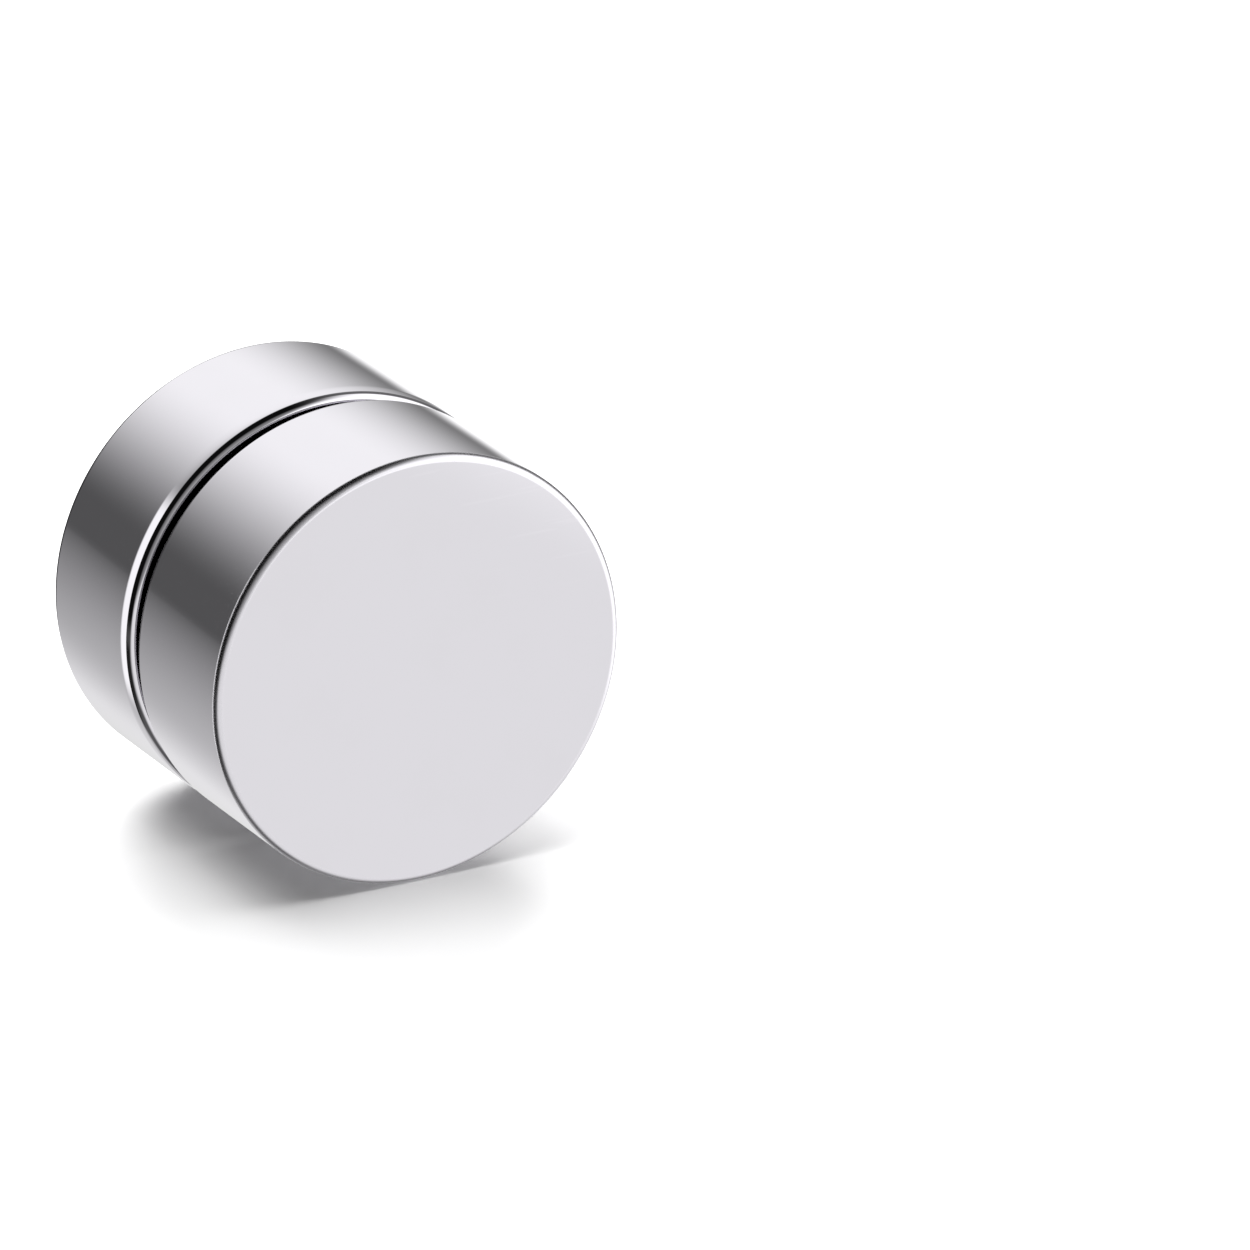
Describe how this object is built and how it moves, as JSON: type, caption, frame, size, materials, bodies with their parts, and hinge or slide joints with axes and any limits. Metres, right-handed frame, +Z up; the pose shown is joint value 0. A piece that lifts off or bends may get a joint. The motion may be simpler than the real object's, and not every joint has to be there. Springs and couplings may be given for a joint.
{
  "type": "magnetic earring",
  "caption": "Magnetic stud earring: a polished steel front drum and back drum that hold each other face to face through the ear lobe by magnets set into their rims, lying on its round side.",
  "frame": {"origin": "on the surface that the earring lies on, below the middle of its length", "axes": "+Y along the shared axis of the drums, from the front face to the back face; +Z up"},
  "size_m": [0.008, 0.0062, 0.008],
  "materials": {
    "polished_steel": "mirror-polished stainless steel",
    "nickel_plate": "bright nickel plating on a neodymium magnet"
  },
  "bodies": {
    "front": {"front_drum": "polished_steel", "front_magnet": "nickel_plate"},
    "back": {"back_drum": "polished_steel", "back_magnet": "nickel_plate"}
  },
  "joints": [
    {"name": "back_pull", "type": "slide", "parent": "front", "child": "back", "axis": [0, 1, 0], "range_m": [0, 0.01]}
  ]
}
